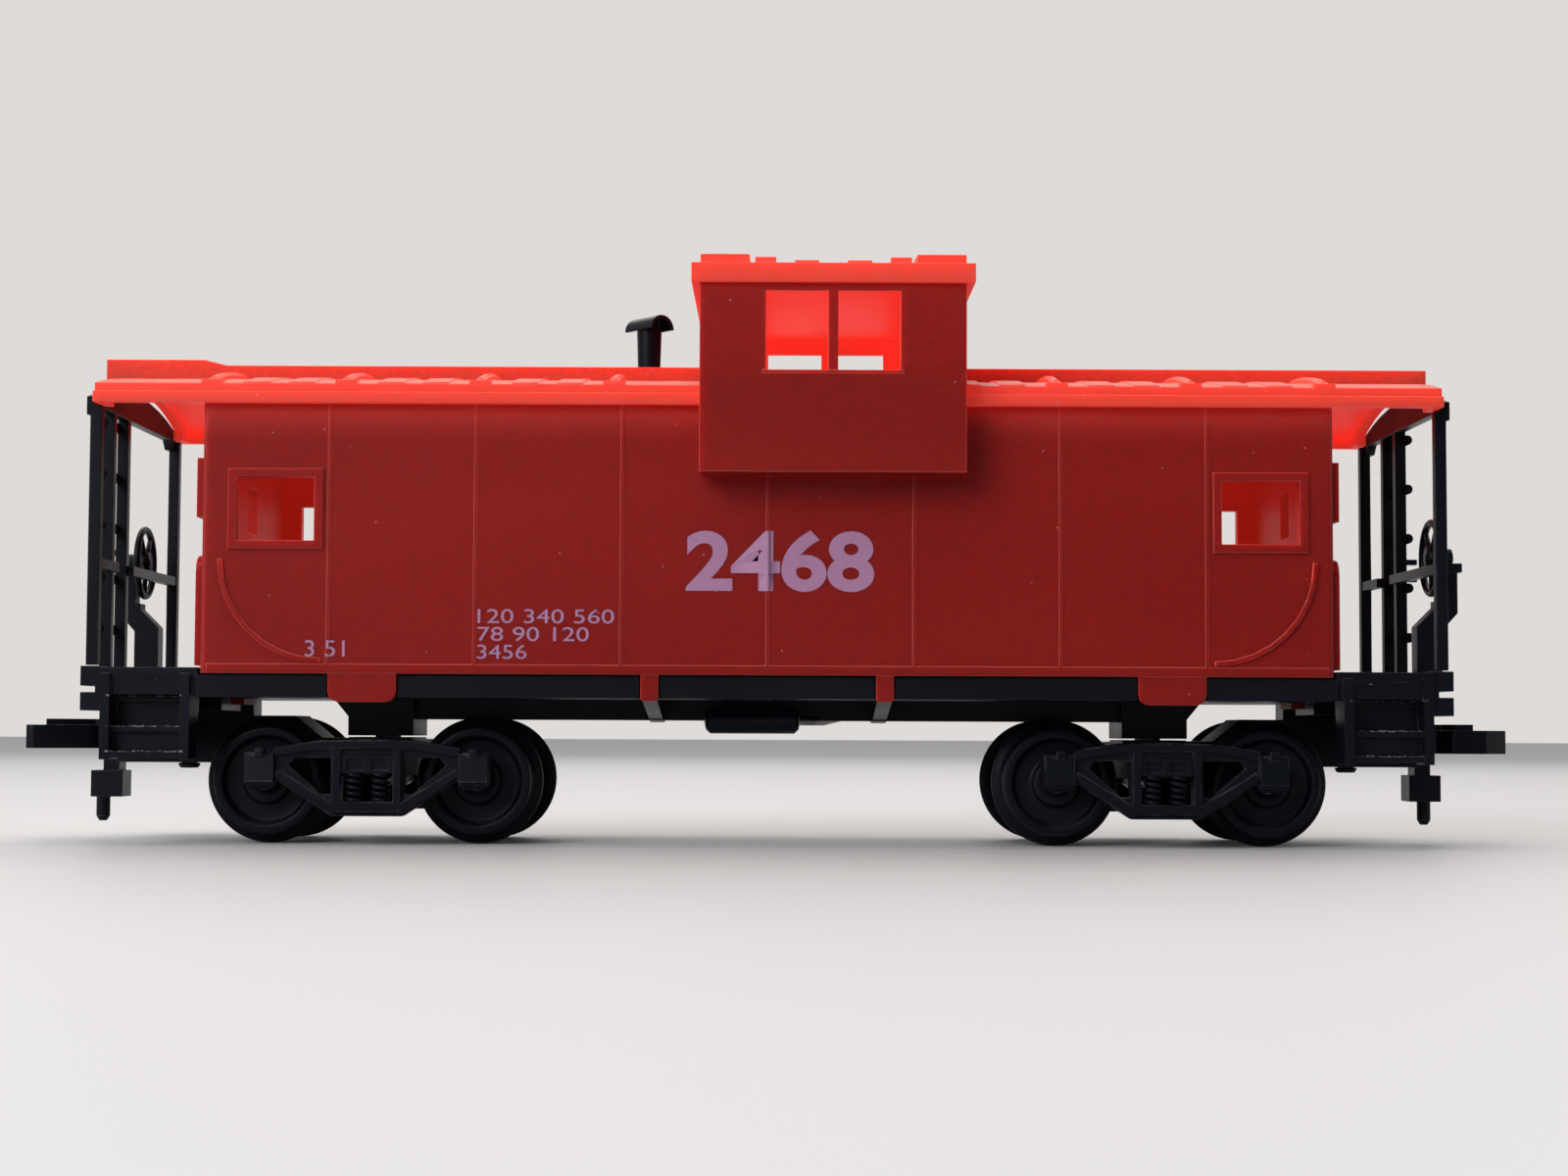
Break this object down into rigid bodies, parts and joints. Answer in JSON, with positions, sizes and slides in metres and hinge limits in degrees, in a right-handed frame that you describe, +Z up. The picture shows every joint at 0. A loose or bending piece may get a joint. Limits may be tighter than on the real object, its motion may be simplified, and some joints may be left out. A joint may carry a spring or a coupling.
{
  "type": "model caboose",
  "caption": "Small-scale railway caboose with a wide-vision cupola, railed end platforms, swivelling trucks and swinging couplers.",
  "frame": {"origin": "centre of the footprint, on the surface that the wheels stand on", "axes": "+X along the track towards end b, whose half holds the cupola; +Y across the track; +Z up"},
  "size_m": [0.1494, 0.0434, 0.0573],
  "materials": {
    "red_plastic": "semi-gloss moulded",
    "roof_red_plastic": "semi-gloss moulded",
    "black_plastic": "satin moulded",
    "steel": "plain, slightly dull"
  },
  "bodies": {
    "root": {"body_shell": "red_plastic", "main_roof": "roof_red_plastic", "roof_walk_long": "roof_red_plastic", "roof_walk_short": "roof_red_plastic", "cupola_shell": "red_plastic", "cupola_roof": "roof_red_plastic", "smoke_jack": "black_plastic", "underframe": "black_plastic", "steel_weight": "steel", "air_tank": "black_plastic", "end_railing_a": "black_plastic", "end_railing_b": "black_plastic", "brake_stand_a": "black_plastic", "brake_stand_b": "black_plastic", "brake_wheel_a": "black_plastic", "brake_wheel_b": "black_plastic", "truck_pin_a": "steel", "truck_pin_b": "steel"},
    "truck_a": {"truck_frame_a": "black_plastic", "coupler_pin_a": "black_plastic"},
    "coupler_a": {"coupler_a": "black_plastic"},
    "wheelset_outer_a": {"axle_outer_a": "steel", "wheel_outer_a_left": "black_plastic", "wheel_outer_a_right": "black_plastic"},
    "wheelset_inner_a": {"axle_inner_a": "steel", "wheel_inner_a_left": "black_plastic", "wheel_inner_a_right": "black_plastic"},
    "truck_b": {"truck_frame_b": "black_plastic", "coupler_pin_b": "black_plastic"},
    "coupler_b": {"coupler_b": "black_plastic"},
    "wheelset_outer_b": {"axle_outer_b": "steel", "wheel_outer_b_left": "black_plastic", "wheel_outer_b_right": "black_plastic"},
    "wheelset_inner_b": {"axle_inner_b": "steel", "wheel_inner_b_left": "black_plastic", "wheel_inner_b_right": "black_plastic"}
  },
  "joints": [
    {"name": "truck_swivel_a", "type": "hinge", "parent": "root", "child": "truck_a", "pos_m": [-0.03855, 0, 0.0105], "axis": [0, 0, 1], "range_deg": [-12, 12]},
    {"name": "coupler_swing_a", "type": "hinge", "parent": "truck_a", "child": "coupler_a", "pos_m": [-0.0587, 0, 0.0103], "axis": [0, 0, 1], "range_deg": [-8, 8]},
    {"name": "wheelset_spin_outer_a", "type": "hinge", "parent": "truck_a", "child": "wheelset_outer_a", "pos_m": [-0.04885, 0, 0.0062], "axis": [0, 1, 0], "continuous": true},
    {"name": "wheelset_spin_inner_a", "type": "hinge", "parent": "truck_a", "child": "wheelset_inner_a", "pos_m": [-0.02825, 0, 0.0062], "axis": [0, 1, 0], "continuous": true},
    {"name": "truck_swivel_b", "type": "hinge", "parent": "root", "child": "truck_b", "pos_m": [0.03855, 0, 0.0105], "axis": [0, 0, 1], "range_deg": [-12, 12]},
    {"name": "coupler_swing_b", "type": "hinge", "parent": "truck_b", "child": "coupler_b", "pos_m": [0.0587, 0, 0.0103], "axis": [0, 0, 1], "range_deg": [-8, 8]},
    {"name": "wheelset_spin_outer_b", "type": "hinge", "parent": "truck_b", "child": "wheelset_outer_b", "pos_m": [0.04885, 0, 0.0062], "axis": [0, 1, 0], "continuous": true},
    {"name": "wheelset_spin_inner_b", "type": "hinge", "parent": "truck_b", "child": "wheelset_inner_b", "pos_m": [0.02825, 0, 0.0062], "axis": [0, 1, 0], "continuous": true}
  ]
}
